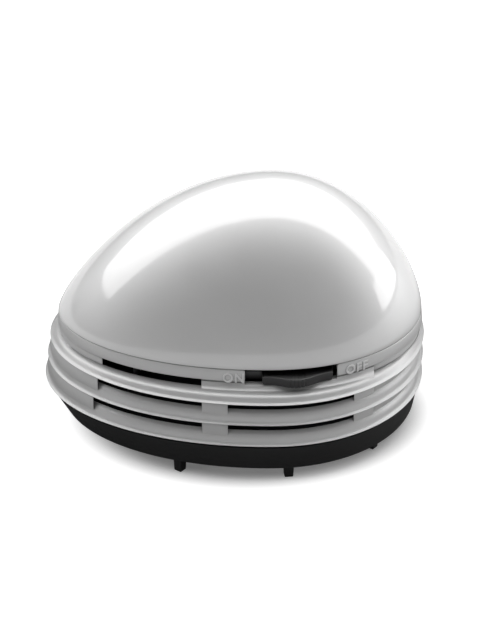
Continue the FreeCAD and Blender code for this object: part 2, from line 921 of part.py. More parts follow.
def make_motor():
    can_x = axis_x - get("can_diameter") / 2
    flat_y = -(get("can_across_flats") / 2)
    cap_bottom = deck_top + get("can_length")
    bore = get("shaft_diameter") + get("shaft_clearance") * 2
    shapes = []
    for label, low, length in (
        ("motor_can", deck_top, get("can_length")), ("motor_end_cap", cap_bottom, get("cap_length"))
    ):
        barrel = cylinder(f"{label}_barrel", get("can_diameter"), length, axis_x, 0.0, low)
        flats = block(
            f"{label}_flats", get("can_diameter"), get("can_across_flats"), length, can_x, flat_y, low
        )
        shapes.append(common(f"{label}_form", barrel, flats))
    boss_low = deck_top - get("nose_boss_height")
    boss = cylinder(
        "motor_nose", get("nose_boss_diameter"), get("nose_boss_height"), axis_x, 0.0, boss_low
    )
    can = fuse("motor_can_solid", shapes[0], boss)
    hole_height = get("can_length") + get("nose_boss_height")
    can_hole = cylinder("motor_can_bore", bore, hole_height, axis_x, 0.0, boss_low)
    keep("motor_can", cut("motor_can_cut", can, can_hole))
    cap_hole = cylinder("motor_cap_bore", bore, get("cap_length"), axis_x, 0.0, cap_bottom)
    keep("motor_end_cap", cut("motor_end_cap_cut", shapes[1], cap_hole))
    shaft_low = fan_plate_bottom - get("hub_height")
    shaft_top = cap_bottom + get("cap_length") + get("shaft_tail")
    shaft = cylinder(
        "motor_shaft", get("shaft_diameter"), shaft_top - shaft_low, axis_x, 0.0, shaft_low
    )
    keep("motor_shaft", shaft)
    cap_top = cap_bottom + get("cap_length")
    tabs = []
    for hand in (-1, 1):
        centre = axis_x + get("terminal_spread") / 2 * hand
        tabs.append(block(
            f"terminal_{'front' if hand < 0 else 'rear'}",
            get("terminal_thickness"), get("terminal_width"), get("terminal_height"),
            centre - get("terminal_thickness") / 2, -(get("terminal_width") / 2), cap_top,
        ))
    pair = doc.addObject("Part::Compound", "motor_terminals")
    pair.Links = tabs
    keep("motor_terminals", pair)


# --------------------------------------------------------- battery bay parts


def make_cell(name, hand):
    """An AA cell on its side: a can with a crimped edge and its terminal nub."""
    body = new_body(name)
    radius = get("cell_diameter") / 2
    nub = get("nub_diameter") / 2
    crimp = radius - get("crimp_depth")
    edge = get("crimp_width")
    length = get("cell_length")
    half = new_sketch(body, "half", role="XZ_Plane")
    draw_polygon(half, [
        (0.0, 0.0), (0.0, crimp), (edge, radius), (length - edge, radius), (length, crimp),
        (length, nub), (length + get("nub_length"), nub), (length + get("nub_length"), 0.0),
    ])
    revolve(body, half)
    if hand > 0:
        body.Placement.Rotation = Rotation(Vector(0, 0, 1), 180)
    reach = (length + get("nub_length")) if hand > 0 else size_of(0.0)
    shift = get("spring_room") if hand < 0 else size_of(0.0)
    start = cell_start() + reach + shift
    return place(body, start, get("cell_spread") * hand, cell_axis_z)


def bay_length():
    """The room between the contacts: a cell with its nub, and its spring."""
    return get("cell_length") + get("nub_length") + get("spring_room")


def cell_start():
    return get("cell_middle_x") - bay_length() / 2


def bay_start():
    """The inner face of the bay's nose wall; the contacts lie against it."""
    return cell_start() - get("contact_thickness")


def bay_end():
    return cell_start() + bay_length() + get("contact_thickness")


def make_battery_cradle():
    """The open box that holds both cells, with a well in the middle for the motor."""
    body = new_body("battery_cradle")
    wall = get("cradle_wall")
    bay_half = get("cell_diameter") / 2 + get("cell_clearance")
    outer_y = get("cell_spread") + bay_half + wall
    x0 = bay_start() - wall
    x1 = bay_end() + wall
    height = get("cradle_floor") + get("cell_clearance") + get("cell_diameter") / 2 + get("cradle_rise")
    plan = new_sketch(body, "plan")
    draw_rectangle(plan, x0, x1, -outer_y, outer_y)
    pad(body, plan, height)
    for hand, side in ((-1, "near"), (1, "far")):
        centre = get("cell_spread") * hand
        trough = new_sketch(body, f"trough_{side}", offset=height)
        draw_rectangle(trough, bay_start(), bay_end(), centre - bay_half, centre + bay_half)
        pocket(body, trough, height - get("cradle_floor"))
    well_half = get("cell_spread") - bay_half - wall
    middle = new_sketch(body, "middle", offset=height)
    draw_rectangle(middle, x0, x1, -well_half, well_half)
    pocket(body, middle, height - get("cradle_floor"))
    well = new_sketch(body, "well", offset=height)
    reach = get("can_diameter") / 2 + get("well_clearance")
    draw_rectangle(well, axis_x - reach, axis_x + reach, -well_half, well_half)
    pocket(body, well, height)
    return place(body, 0.0, 0.0, deck_top)


def contact_shape(x, hand):
    """One square contact plate, upright at the end of a cell."""
    side = num("cell_diameter") - 2 * num("cell_clearance")
    middle = hand * num("cell_spread")
    low = float(deck_top) + num("cradle_floor")
    thick = num("contact_thickness")
    return box(x, x + thick, middle - side / 2, middle + side / 2, low, low + side)


def sprung(plate, face, hand, towards):
    """A contact plate with its leaf: a bowed strip that leans on a cell's flat end."""
    reach = num("spring_room") * towards
    middle = hand * num("cell_spread")
    span = num("leaf_length") / 2
    level = float(cell_axis_z)
    low = level - span
    high = level + span
    outer = Part.Arc(Vector(face, 0, low), Vector(face + reach, 0, level), Vector(face, 0, high))
    thick = num("contact_thickness") * towards
    inner = Part.Arc(
        Vector(face, 0, low + abs(thick)),
        Vector(face + reach - thick, 0, level),
        Vector(face, 0, high - abs(thick)),
    )
    sides = [
        Part.LineSegment(Vector(face, 0, low), Vector(face, 0, low + abs(thick))).toShape(),
        Part.LineSegment(Vector(face, 0, high), Vector(face, 0, high - abs(thick))).toShape(),
    ]
    wire = Part.Wire([outer.toShape(), sides[1], inner.toShape(), sides[0]])
    leaf = Part.Face(wire).extrude(Vector(0, num("leaf_width"), 0))
    leaf.translate(Vector(0, middle - num("leaf_width") / 2, 0))
    return plate.fuse(leaf)


def make_contacts():
    """The double contact that joins both cells at the nose, and one contact each at the tail."""
    nose_x = float(bay_start())
    nose_face = nose_x + num("contact_thickness")
    tail_face = float(bay_end()) - num("contact_thickness")
    near = contact_shape(nose_x, -1)
    far = contact_shape(nose_x, 1)
    strap = box(
        nose_x, nose_face, near.BoundBox.YMax, far.BoundBox.YMin,
        near.BoundBox.ZMax - num("strap_height"), near.BoundBox.ZMax,
    )
    pair = sprung(near, nose_face, -1, 1).fuse([strap, far])
    feature("nose_contact", pair.removeSplitter())
    feature("plus_contact", contact_shape(tail_face, -1))
    feature("minus_contact", sprung(contact_shape(tail_face, 1), tail_face, 1, -1))


# ------------------------------------------------------------ slide switch


def knob_span():
    end = num("opening_start") + num("opening_length") - num("knob_end_gap")
    return end - num("knob_length"), end


def make_switch_knob():
    """The thumb slide: a wave-fronted bar on a flange that runs behind the band."""
    start, end = knob_span()
    length = end - start
    back = -num("flange_y") - num("flange_thickness")
    front_inset = band_inset.grow(-num("knob_flush"))
    count = 13
    turns = num("knob_wave_turns")
    wave = []
    for index in range(count):
        along = index / (count - 1)
        x = start + length * along
        swell = max(0.0, math.cos(2 * math.pi * (along - 0.5) * turns)) ** 2
        wave.append(Vector(x, -half_width(x, front_inset) - num("knob_bulge") * swell, 0))
    front = Part.BSplineCurve()
    front.interpolate(wave)
    corners = [wave[-1], Vector(end, back, 0), Vector(start, back, 0), wave[0]]
    edges = [front.toShape()]
    edges += [Part.LineSegment(a, b).toShape() for a, b in zip(corners, corners[1:])]
    low = float(knob_bottom)
    bar = Part.Face(Part.Wire(edges)).extrude(Vector(0, 0, num("knob_thickness")))
    bar.translate(Vector(0, 0, low))
    pitch = num("grip_rib_pitch")
    middle = (start + end) / 2
    ribs = int(num("grip_rib_count"))
    for index in range(ribs):
        x = middle + (index - (ribs - 1) / 2) * pitch
        face_y = -half_width(x, front_inset) - num("knob_bulge")
        groove = box(
            x - pitch / 4, x + pitch / 4, face_y - 1, face_y + num("grip_rib_depth"),
            low, low + num("knob_thickness"),
        )
        bar = bar.cut(groove)
    flange_top = float(cover_bottom) - num("cover_lip_height") - num("flange_top_gap")
    flange = box(
        start - num("flange_tail"), end, back, back + num("flange_thickness"),
        float(deck_top) + num("slide_clearance"), flange_top,
    )
    stem_x = (start + end) / 2
    half = num("stem_width") / 2
    stem_low = float(deck_top) + num("switch_height") / 2 - num("stem_height") / 2
    stem_back = back + num("flange_thickness") + num("stem_depth")
    stem = box(
        stem_x - half, stem_x + half, back + num("flange_thickness"), stem_back,
        stem_low, stem_low + num("stem_height"),
    )
    feature("switch_knob", bar.fuse(flange).removeSplitter())
    feature("switch_stem", stem)


def switch_middle():
    """The middle of the electrical switch: halfway along the stem's travel."""
    return sum(knob_span()) / 2 - num("knob_travel") / 2


def make_switch_body():
    """The electrical slide switch on the deck, with a window for the knob's stem."""
    travel = num("knob_travel")
    front = -num("flange_y") + num("switch_gap")
    low = float(deck_top)
    middle = switch_middle()
    half = num("switch_length") / 2
    shape = box(middle - half, middle + half, front, front + num("switch_depth"), low,
                low + num("switch_height"))
    window_half = num("stem_width") / 2 + travel / 2 + num("switch_gap")
    centre_z = low + num("switch_height") / 2
    window_high = num("stem_height") / 2 + num("slide_clearance")
    window = box(
        middle - window_half, middle + window_half, front, front + num("stem_depth"),
        centre_z - window_high, centre_z + window_high,
    )
    return feature("switch_body", shape.cut(window))


# ------------------------------------------------------------ screws, leads


def make_screw(name, length):
    """A pan-head self-tapping screw whose head is at the origin and shank runs up."""
    body = doc.addObject("PartDesign::Body", name)
    head = get("screw_head_diameter") / 2
    shank = get("screw_diameter") / 2
    depth = get("screw_head_height")
    crown = get("screw_crown_radius")
    edge = get("screw_crown_height") - depth
    half = new_sketch(body, "half", role="XZ_Plane")
    draw_polygon(half, [
        (0.0, -depth), (crown, -depth), (head, edge), (head, 0.0), (shank, 0.0),
        (shank, length - shank), (0.0, length),
    ])
    revolve(body, half, axis="V_Axis")
    doc.recompute()
    return body


def make_chassis_screws():
    """Four long screws hold baffle and deck up against the housing's bosses."""
    length = deck_top - baffle_bottom + get("screw_bite") - get("pilot_clearance")
    master = make_screw("chassis_screw_master", length)
    solids = []
    for x, y in post_places():
        solid = master.Shape.copy()
        solid.Placement = Placement(Vector(x, y, float(baffle_bottom)), Rotation())
        solids.append(solid)
    return feature("chassis_screws", Part.makeCompound(solids))


def tube(points, diameter, share=0.45):
    """A round lead along straight runs joined by tangent arcs, each using a share of its runs."""
    edges = []
    last = points[0]
    for before, corner, after in zip(points, points[1:], points[2:]):
        back = (before - corner).normalize()
        ahead = (after - corner).normalize()
        turn = math.pi - back.getAngle(ahead)
        reach = share * min(before.distanceToPoint(corner), after.distanceToPoint(corner))
        radius = reach / math.tan(turn / 2)
        print(f"lead arc radius {radius:.1f} mm")
        inward = (back + ahead).normalize()
        middle = corner + inward * (radius / math.cos(turn / 2) - radius)
        start = corner + back * reach
        end = corner + ahead * reach
        edges.append(Part.LineSegment(last, start).toShape())
        edges.append(Part.Arc(start, middle, end).toShape())
        last = end
    edges.append(Part.LineSegment(last, points[-1]).toShape())
    heading = (points[1] - points[0]).normalize()
    section = Part.Wire(Part.Circle(points[0], heading, diameter / 2).toShape())
    solid = Part.Wire(edges).makePipeShell([section], True, False)
    length = sum(edge.Length for edge in edges)
    swept = length * math.pi * diameter**2 / 4
    print(f"lead volume over section times length: {solid.Volume / swept:.3f}")
    return solid


def make_leads():
    """Three leads run from the motor's tabs over the cells, to the switch and to the contacts."""
    tab_top = float(deck_top) + num("can_length") + num("cap_length") + num("terminal_height")
    spread = num("terminal_spread") / 2
    switch_y = -num("flange_y") + num("switch_gap") + num("switch_depth") / 2
    switch_top = float(deck_top) + num("switch_height")
    contact_x = float(bay_end()) - num("contact_thickness") / 2
    contact_side = num("cell_diameter") - 2 * num("cell_clearance")
    contact_top = float(deck_top) + num("cradle_floor") + contact_side
    front_tab = Vector(num("widest_station") - spread, 0, tab_top)
    rear_tab = Vector(num("widest_station") + spread, 0, tab_top)
    middle = switch_middle()
    switch_front = Vector(middle - num("pin_spread") / 2, switch_y, switch_top)
    switch_rear = Vector(middle + num("pin_spread") / 2, switch_y, switch_top)
    plus = Vector(contact_x, -num("cell_spread"), contact_top)
    minus = Vector(contact_x, num("cell_spread"), contact_top)
    routes = {
        "motor_switch_lead": [
            front_tab,
            front_tab + Vector(0, 0, 5.5),
            front_tab + Vector(0.6, -6.5, 9.5),
            front_tab + Vector(2.4, -15.0, 6.0),
            switch_front + Vector(-1.2, 6.5, 18.4),
            switch_front + Vector(0, 0, 8.0),
            switch_front,
        ],
        "switch_cell_lead": [
            switch_rear,
            switch_rear + Vector(0, 0, 5.5),
            switch_rear + Vector(3.8, 2.0, 11.0),
            plus + Vector(-5.0, -4.6, 6.6),
            plus + Vector(0, 0, 5.0),
            plus,
        ],
        "motor_cell_lead": [
            rear_tab,
            rear_tab + Vector(0, 0, 5.0),
            rear_tab + Vector(2.8, 5.5, 8.5),
            minus + Vector(-8.0, -5.0, 17.5),
            minus + Vector(0, 0, 7.5),
            minus,
        ],
    }
    for name, route in routes.items():
        feature(name, tube(route, num("lead_diameter")))


# -------------------------------------------------------------------- build


def build():
    make_dust_tray()
    make_feet()
    make_brush("front_brush", -1)
    make_brush("rear_brush", 1)
    make_vent_housing()
    make_fan_baffle()
    make_filter_frame()
    make_filter_screen()
    make_deck_plate()
    make_chassis_screws()
    make_fan_impeller()
    make_motor()
    make_battery_cradle()
    make_cell("near_cell", -1)
    make_cell("far_cell", 1)
    make_contacts()
    make_switch_body()
    make_switch_knob()
    make_leads()
    make_dome_cover()
    doc.recompute()


def check():
    """Stops before anything is written if a feature failed or a solid is unsound."""
    for obj in doc.Objects:
        if "Invalid" in obj.State or "Error" in obj.State:
            raise RuntimeError(f"{obj.Name} failed: {obj.State}")
    for name, obj in nodes.items():
        shape = obj.Shape
        if shape.isNull() or not shape.isValid() or not shape.Solids:
            raise RuntimeError(f"{name} has no sound solid")
        print(f"{name}: {len(shape.Solids)} solid(s), {shape.Volume:.0f} mm3, {len(shape.Faces)} faces")


def write():
    os.makedirs("parts", exist_ok=True)
    for name, obj in nodes.items():
        obj.Shape.exportStep(f"parts/{name}.step")


build()
check()
write()
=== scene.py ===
import bpy
import bmesh
import math
from mathutils import Matrix, Vector


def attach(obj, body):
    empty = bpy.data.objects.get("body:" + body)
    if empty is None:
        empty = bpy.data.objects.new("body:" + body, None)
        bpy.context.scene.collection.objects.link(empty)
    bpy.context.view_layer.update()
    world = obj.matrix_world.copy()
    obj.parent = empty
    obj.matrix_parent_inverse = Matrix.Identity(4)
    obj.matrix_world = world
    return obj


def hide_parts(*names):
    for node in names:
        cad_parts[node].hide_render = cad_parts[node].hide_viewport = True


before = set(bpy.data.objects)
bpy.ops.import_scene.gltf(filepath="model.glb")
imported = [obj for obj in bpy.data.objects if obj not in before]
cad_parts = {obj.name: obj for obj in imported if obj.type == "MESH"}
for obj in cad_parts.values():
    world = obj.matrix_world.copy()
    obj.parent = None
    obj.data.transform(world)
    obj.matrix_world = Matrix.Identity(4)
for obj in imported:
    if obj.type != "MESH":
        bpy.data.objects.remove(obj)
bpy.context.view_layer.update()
print("frame loaded:", len(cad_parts), "nodes")

mm = 0.001  # the measures below are in millimetres
fullCircle = 2 * math.pi

# The body's plan: two half-ellipses that meet at the widest station
plan = {
    "halfLength": 59.0,
    "halfWidth": 46.0,
    "station": 11.7,
    "columns": 208,
}
pastTip = plan["halfLength"] + 1  # an x beyond either end of the body

# Heights above the table that several pieces share
levels = {
    "trayBottom": 5.0,
    "trayTop": 14.2,
    "rings": (14.8, 21.8, 28.6),
    "deckTop": 29.4,
    "shelf": 30.9,
    "bandBottom": 33.3,
    "bandTop": 36.9,
    "coverBottom": 37.1,
    "coverTop": 81.0,
}


def inset(gap):
    # how far a line stands inside the plan, at the nose, at the tail and at the sides
    return Vector((gap, gap, gap))


ringLean = Vector((1.0, 0.0, 0.6))  # each ring stands this far inside the one below
bandInset = ringLean * 2 + Vector((2.5, 0.7, 5.7))  # the foot of the band
seamInset = bandInset + Vector((0.35, 0.35, 0.8))  # the seam between band and dome
bayInset = seamInset + inset(1.5)  # the band's inner face


def semiAxes(gap):
    half, station = plan["halfLength"], plan["station"]
    return half - gap[0] + station, half - gap[1] - station, plan["halfWidth"] - gap[2]


def planPoint(angle, gap, z, scale=(1, 1, 1)):
    nose, tail, side = (axis * share for axis, share in zip(semiAxes(gap), scale))
    along = tail if math.cos(angle) > 0 else nose
    x = plan["station"] + along * math.cos(angle)
    return Vector((x, side * math.sin(angle), z))


def halfWidthAt(x, gap):
    nose, tail, side = semiAxes(gap)
    reach = x - plan["station"]
    return side * math.sqrt(max(0.0, 1 - (reach / (tail if reach > 0 else nose)) ** 2))


def angleAt(x, gap, hand=1):
    nose, tail, side = semiAxes(gap)
    reach = x - plan["station"]
    angle = math.acos(max(-1.0, min(1.0, reach / (tail if reach > 0 else nose))))
    return angle * hand


def addGrid(bm, columns, rows, surface):
    # a grid whose corners run from (0, 0) to (1, 1) and are laid on the surface
    made = bmesh.ops.create_grid(bm, x_segments=columns, y_segments=rows, size=0.5)
    for vert in made["verts"]:
        vert.co = surface(vert.co.x + 0.5, vert.co.y + 0.5)


def closeUp(bm, distance=0.002):
    bmesh.ops.remove_doubles(bm, verts=bm.verts, dist=distance)
    bmesh.ops.dissolve_degenerate(bm, edges=bm.edges, dist=distance / 10)


def capEnds(bm):
    border = [edge for edge in bm.edges if len(edge.link_faces) == 1]
    bmesh.ops.holes_fill(bm, edges=border, sides=0)
    bmesh.ops.recalc_face_normals(bm, faces=bm.faces)


def bevelSharp(bm, width, segments=2, degrees=30, keep=None):
    # rounds every edge that is sharper than this many degrees, or only those that keep picks
    limit = math.radians(degrees)
    edges = []
    for edge in bm.edges:
        if len(edge.link_faces) == 2 and edge.calc_face_angle(0) > limit:
            if keep is None or keep(edge):
                edges.append(edge)
    bmesh.ops.bevel(
        bm, geom=edges, offset=width, offset_type="OFFSET", affect="EDGES",
        segments=segments, profile=0.5, material=-1, clamp_overlap=True,
    )


def wholePlan(gap):
    return 0.0, fullCircle


def spanBetween(start, end, hand):
    # a stretch of one side between two places along x; beyond an end it runs round that tip
    def span(gap):
        if start <= -plan["halfLength"]:
            edge = angleAt(end, gap)
            return edge, fullCircle - edge
        if end >= plan["halfLength"]:
            edge = angleAt(start, gap)
            return -edge, edge
        return angleAt(end, gap, hand), angleAt(start, gap, hand)
    return span


def sweepPlan(profile, span=wholePlan):
    # a closed section of (inset, z) corners carried round the plan; span gives its two end
    # angles at an inset, so that cut ends stand square to the long axis
    first, last = span(profile[0][0])
    columns = max(4, round(plan["columns"] * abs(last - first) / fullCircle))
    count = len(profile)

    def surface(u, v):
        gap, z = profile[round(v * count) % count]
        start, end = span(gap)
        return planPoint(start + (end - start) * u, gap, z)

    part = bmesh.new()
    addGrid(part, columns, count, surface)
    closeUp(part)
    capEnds(part)
    return part


def joinInto(bm, part):
    mesh = bpy.data.meshes.new("part")
    part.to_mesh(mesh)
    part.free()
    bm.from_mesh(mesh)
    bpy.data.meshes.remove(mesh)


def finishPiece(name, bm, material, smoothBelow=35):
    bmesh.ops.scale(bm, vec=(mm, mm, mm), verts=bm.verts)
    mesh = bpy.data.meshes.new(name)
    bm.to_mesh(mesh)
    bm.free()
    mesh.polygons.foreach_set("use_smooth", [True] * len(mesh.polygons))
    mesh.set_sharp_from_angle(angle=math.radians(smoothBelow))
    mesh.materials.append(material)
    piece = bpy.data.objects.new(name, mesh)
    bpy.context.scene.collection.objects.link(piece)
    return piece


def stand(piece, body, slot, *nodes):
    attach(piece, body)
    if nodes:
        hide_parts(*nodes)


# What the finishes share: noise scales per metre, the spans of noise over which a finish changes,
# and the spans of openness and upward facing over which its painted shade deepens
texture = {
    "noiseSpan": (0.3, 0.7),
    "cloudScale": 18.0,
    "glossScale": 90.0,
    "softDetail": 3.0,
    "grainDetail": 2.0,
    "hollowSamples": 12,
    "hollowSpan": (0.25, 0.85),
    "upwardSpan": (0.86, 0.98),
}


def newMaterial(name, sockets):
    material = bpy.data.materials.new(name)
    material.use_nodes = True
    shader = material.node_tree.nodes["Principled BSDF"]
    for socket, value in sockets.items():
        shader.inputs[socket].default_value = value
    return material


def noiseOf(material, scale, detail):
    nodes, links = material.node_tree.nodes, material.node_tree.links
    place = nodes.new("ShaderNodeTexCoord")
    noise = nodes.new("ShaderNodeTexNoise")
    noise.inputs["Scale"].default_value = scale
    noise.inputs["Detail"].default_value = detail
    links.new(place.outputs["Object"], noise.inputs["Vector"])
    return noise.outputs["Fac"]


def ramp(material, source, stops):
    nodes, links = material.node_tree.nodes, material.node_tree.links
    band = nodes.new("ShaderNodeValToRGB")
    for element, (place, colour) in zip(band.color_ramp.elements, stops):
        element.position = place
        element.color = (*colour, 1)
    links.new(source, band.inputs["Fac"])
    return band.outputs["Color"]


def mapRange(material, source, spanIn, spanOut, interpolation="LINEAR"):
    nodes, links = material.node_tree.nodes, material.node_tree.links
    spread = nodes.new("ShaderNodeMapRange")
    spread.interpolation_type = interpolation
    sockets = ("From Min", "From Max", "To Min", "To Max")
    for socket, value in zip(sockets, (*spanIn, *spanOut)):
        spread.inputs[socket].default_value = value
    links.new(source, spread.inputs["Value"])
    return spread.outputs["Result"]


def combine(material, operation, first, second):
    nodes, links = material.node_tree.nodes, material.node_tree.links
    node = nodes.new("ShaderNodeMath")
    node.operation = operation
    links.new(first, node.inputs[0])
    links.new(second, node.inputs[1])
    return node.outputs["Value"]


def darken(material, factor):
    # multiplies the colour that the material has so far
    nodes, links = material.node_tree.nodes, material.node_tree.links
    base = nodes["Principled BSDF"].inputs["Base Color"]
    blend = nodes.new("ShaderNodeMix")
    blend.data_type = "RGBA"
    blend.blend_type = "MULTIPLY"
    blend.inputs["Factor"].default_value = 1.0
    links.new(base.links[0].from_socket, blend.inputs["A"])
    links.new(factor, blend.inputs["B"])
    links.new(blend.outputs["Result"], base)


def paintHollowShade(material, reach, deep):
    # painted shade in the recesses, from occlusion, down to the deep share of the colour
    hollow = material.node_tree.nodes.new("ShaderNodeAmbientOcclusion")
    hollow.samples = texture["hollowSamples"]
    hollow.inputs["Distance"].default_value = reach
    low, high = texture["hollowSpan"]
    stops = [(low, (deep, deep, deep)), (high, (1, 1, 1))]
    darken(material, ramp(material, hollow.outputs["AO"], stops))


def paintTopShade(material, share):
    # painted shade on faces that look up: those that look straight up keep this share of the
    # colour
    nodes, links = material.node_tree.nodes, material.node_tree.links
    facing = nodes.new("ShaderNodeNewGeometry")
    axes = nodes.new("ShaderNodeSeparateXYZ")
    links.new(facing.outputs["Normal"], axes.inputs["Vector"])
    darken(material, mapRange(material, axes.outputs["Z"], texture["upwardSpan"], (1.0, share)))


def makeFinish(name, dark, light, rough, grain, depth, sockets=None):
    # faint cloudiness between two colours, uneven gloss and a fine raised texture
    material = newMaterial(name, sockets or {})
    nodes, links = material.node_tree.nodes, material.node_tree.links
    shader = nodes["Principled BSDF"]
    low, high = texture["noiseSpan"]
    cloud = noiseOf(material, texture["cloudScale"], texture["softDetail"])
    links.new(ramp(material, cloud, [(low, dark), (high, light)]), shader.inputs["Base Color"])
    gloss = noiseOf(material, texture["glossScale"], texture["softDetail"])
    links.new(mapRange(material, gloss, (low, high), rough), shader.inputs["Roughness"])
    relief = nodes.new("ShaderNodeBump")
    relief.inputs["Distance"].default_value = depth
    links.new(noiseOf(material, grain, texture["grainDetail"]), relief.inputs["Height"])
    links.new(relief.outputs["Normal"], shader.inputs["Normal"])
    return material


domeGloss = makeFinish(
    "domeGloss", dark=(0.78, 0.78, 0.78), light=(0.81, 0.81, 0.81),
    rough=(0.49, 0.54), grain=900.0, depth=0.000004,
    sockets={"Metallic": 0.34, "Coat Weight": 1.0, "Coat Roughness": 0.07, "Coat IOR": 1.55},
)
skirtSatin = makeFinish(
    "skirtSatin", dark=(0.72, 0.72, 0.72), light=(0.75, 0.75, 0.75),
    rough=(0.36, 0.44), grain=2600.0, depth=0.00001, sockets={"Metallic": 0.13},
)
# painted shade in the skirt's recesses, under the rings and at the foot of the band
paintHollowShade(skirtSatin, reach=0.009, deep=0.4)
# paler than the skirt: a painted highlight, as if the raised letters catch the light
wordPaintedHighlight = makeFinish(
    "wordPaintedHighlight", dark=(0.86, 0.86, 0.86), light=(0.9, 0.9, 0.9),
    rough=(0.3, 0.36), grain=2600.0, depth=0.000004,
)
trayBlack = makeFinish(
    "trayBlack", dark=(0.02, 0.02, 0.0205), light=(0.028, 0.028, 0.0285),
    rough=(0.44, 0.52), grain=3200.0, depth=0.00002, sockets={"Specular IOR Level": 0.35},
)
knobBlack = makeFinish(
    "knobBlack", dark=(0.024, 0.024, 0.025), light=(0.032, 0.032, 0.033),
    rough=(0.34, 0.42), grain=3600.0, depth=0.00002,
)
# painted shade in the knob's hollows and on its upward faces
paintHollowShade(knobBlack, reach=0.004, deep=0.5)
paintTopShade(knobBlack, 0.12)
print("materials made")


# The dome is an outer and an inner shell, joined by a rim whose lip drops into the band. The
# fullness powers shape it towards nose, tail and sides; the notch is a stretch along x.
dome = {
    "columns": 224,
    "rows": 56,
    "innerRows": 28,
    "wall": 2.8,
    "topWall": 2.4,
    "fullness": (1.2, 1.51, 1.36),
    "lipHeight": 1.6,
    "lipWall": 1.0,
    "lipNotch": (0.5, 31.0),
    "notchRise": 0.15,
    "edgeRound": 0.35,
    "roundAbove": 0.5,
}


def domePoint(angle, rise, gap, base, top):
    scale = [math.sqrt(max(0.0, 1 - rise ** power)) for power in dome["fullness"]]
    return planPoint(angle, gap, base + (top - base) * rise, scale)


def buildDome():
    bm = bmesh.new()
    base, top = levels["coverBottom"], levels["coverTop"]
    innerGap = seamInset + inset(dome["wall"])
    innerTop = top - dome["topWall"]

    def outside(u, v):
        return domePoint(fullCircle * u, math.sin(v * math.pi / 2), seamInset, base, top)

    def inside(u, v):
        return domePoint(fullCircle * u, math.sin(v * math.pi / 2), innerGap, base, innerTop)

    addGrid(bm, dome["columns"], dome["rows"], outside)
    addGrid(bm, dome["columns"], dome["innerRows"], inside)
    lipGap = innerGap - inset(dome["lipWall"])
    low = base - dome["lipHeight"]
    rim = [(seamInset, base), (lipGap, base), (lipGap, low), (innerGap, low), (innerGap, base)]
    notchStart, notchEnd = dome["lipNotch"]

    def underside(u, v):
        gap, z = rim[round(v * (len(rim) - 1))]
        point = planPoint(fullCircle * u, gap, z)
        if point.y < 0 and notchStart < point.x < notchEnd:  # room for the thumb slide
            point.z = max(z, base - dome["notchRise"])
        return point

    def aboveLip(edge):
        return min(vert.co.z for vert in edge.verts) > low + dome["roundAbove"]

    addGrid(bm, dome["columns"], len(rim) - 1, underside)
    closeUp(bm)
    bmesh.ops.recalc_face_normals(bm, faces=bm.faces)
    bevelSharp(bm, dome["edgeRound"], segments=3, degrees=40, keep=aboveLip)
    shell = finishPiece("domeShell", bm, domeGloss, smoothBelow=50)
    stand(shell, "cover", "white_dome", "dome_cover")


buildDome()
print("dome built")


# The skirt's faces are (inset, rise) steps from a ring's foot, and apron and sill are (inset,
# height) steps inside the band's foot. Slots, bridges and opening are places along x.
skirt = {
    "wall": 3.0,
    "face": (
        (0.12, 0.0), (0.0, 0.2), (0.75, 0.42), (1.0, 0.75), (1.12, 1.3), (1.25, 2.0), (1.45, 2.6),
        (1.75, 3.1), (2.1, 3.5), (2.6, 3.82),
    ),
    "topFace": (
        (0.12, 0.0), (0.0, 0.2), (0.75, 0.42), (1.05, 0.72), (1.35, 1.12), (1.65, 1.52),
        (2.0, 1.85), (2.5, 2.08), (3.3, 2.2),
    ),
    "lipRound": 0.1,
    "ledgeRise": 4.2,
    "shelfInset": 0.5,
    "blockFoot": 2.5,
    "blockTop": 0.6,
    "blockRound": 0.22,
    "blockSlant": 0.55,
    "noseFill": 1.25,
    "frontFill": 2.0,
    "rearFill": 2.3,
    "tailFill": 2.6,
    "slotNose": (-43.4, -41.9, -40.4),
    "frontBridge": (-10.7, -3.0),
    "rearBridge": (35.0, 41.3),
    "opening": (2.2, 29.8),
    "bandRound": 0.3,
    "endRound": 0.7,
    "underRecess": 0.55,
    "underFoot": 0.7,
    "underTop": 0.5,
    "tailShift": (0.3, 0.2),
    "apron": (
        (0.5, 32.6), (0.2, 31.75), (-0.05, 31.4), (-0.5, 31.05), (-1.1, 30.8), (-1.9, 30.55),
    ),
    "sill": (
        (1.6, 32.25), (0.7, 32.2), (0.3, 32.0), (0.1, 31.6), (-0.5, 31.05), (-1.1, 30.8),
        (-1.9, 30.55),
    ),
    "sillReach": 0.3,
}


def ringProfile(step):
    # from the lip up the hollow face and in to the ledge; the top ring runs in to the shelf
    base = levels["rings"][step]
    lean = ringLean * step
    topRing = step == len(levels["rings"]) - 1
    outline = skirt["topFace"] if topRing else skirt["face"]
    points = [(lean + inset(gap), base + rise) for gap, rise in outline]
    wall = lean + inset(skirt["wall"])
    if topRing:
        shelf = bandInset + inset(skirt["shelfInset"])
        return points + [(shelf, levels["shelf"]), (shelf, levels["deckTop"]), (wall, base)]
    return points + [(wall, base + skirt["ledgeRise"]), (wall, base)]


def blockSpans(step):
    # the closed stretches between the slots of a row: start, end and inset from the ring below
    return [
        (-pastTip, skirt["slotNose"][step], skirt["noseFill"]),
        (*skirt["frontBridge"], skirt["frontFill"]),
        (*skirt["rearBridge"], skirt["rearFill"]),
        (skirt["rearBridge"][1], pastTip, skirt["tailFill"]),
    ]


def addWall(bm, low, high, outer, inner, start, end, hands=(-1, 1)):
    # a wall between two heights that stands from x = start to x = end, on one side or both
    slant = inset(skirt["blockSlant"])
    profile = [(outer - slant, low), (outer + slant, high), (inner, high), (inner, low)]
    roundTip = start == -pastTip or end == pastTip
    for hand in hands[:1] if roundTip else hands:
        part = sweepPlan(profile, spanBetween(start, end, hand))
        bevelSharp(part, skirt["blockRound"], degrees=40)
        joinInto(bm, part)


